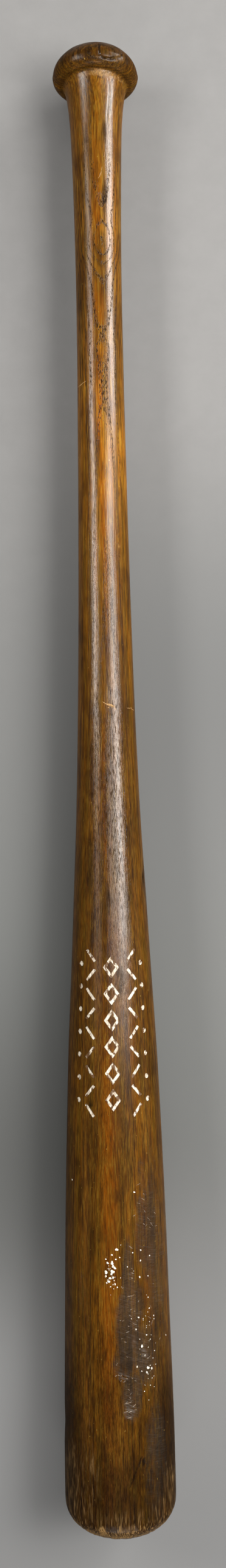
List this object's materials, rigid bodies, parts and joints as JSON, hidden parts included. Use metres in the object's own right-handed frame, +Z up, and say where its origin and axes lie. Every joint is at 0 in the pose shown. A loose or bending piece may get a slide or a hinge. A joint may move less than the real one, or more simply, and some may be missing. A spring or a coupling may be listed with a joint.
{
  "type": "wooden baseball bat",
  "caption": "One-piece turned wooden baseball bat with a rounded knob, slim handle, long taper, full barrel and a painted stamped mark.",
  "frame": {"origin": "on the surface that the bat lies on, under the middle of its bounding box", "axes": "+Y along the bat towards the knob, +Z up, through the stamped mark on top of the barrel"},
  "size_m": [0.0662, 0.8638, 0.0663],
  "materials": {
    "wood": "old oiled ash, worn to a satin sheen, golden brown with dark pores and grime",
    "mark_paint": "dried white paint, chalky and worn"
  },
  "bodies": {
    "root": {"ash_billet": "wood", "paint_lozenge_1": "mark_paint", "paint_lozenge_2": "mark_paint", "paint_lozenge_3": "mark_paint", "paint_lozenge_4": "mark_paint", "paint_lozenge_5": "mark_paint", "paint_lozenge_6": "mark_paint", "paint_bar_left_1": "mark_paint", "paint_bar_left_2": "mark_paint", "paint_bar_left_3": "mark_paint", "paint_bar_left_4": "mark_paint", "paint_bar_left_5": "mark_paint", "paint_bar_left_6": "mark_paint", "paint_bar_left_7": "mark_paint", "paint_bar_left_8": "mark_paint", "paint_bar_left_9": "mark_paint", "paint_bar_right_1": "mark_paint", "paint_bar_right_2": "mark_paint", "paint_bar_right_3": "mark_paint", "paint_bar_right_4": "mark_paint", "paint_bar_right_5": "mark_paint", "paint_bar_right_6": "mark_paint", "paint_bar_right_7": "mark_paint", "paint_bar_right_8": "mark_paint", "paint_bar_right_9": "mark_paint", "paint_dot_left_1": "mark_paint", "paint_dot_left_2": "mark_paint", "paint_dot_left_3": "mark_paint", "paint_dot_left_4": "mark_paint", "paint_dot_left_5": "mark_paint", "paint_dot_left_6": "mark_paint", "paint_dot_left_7": "mark_paint", "paint_dot_right_1": "mark_paint", "paint_dot_right_2": "mark_paint", "paint_dot_right_3": "mark_paint", "paint_dot_right_4": "mark_paint", "paint_dot_right_5": "mark_paint", "paint_dot_right_6": "mark_paint", "paint_dot_right_7": "mark_paint"}
  },
  "joints": []
}
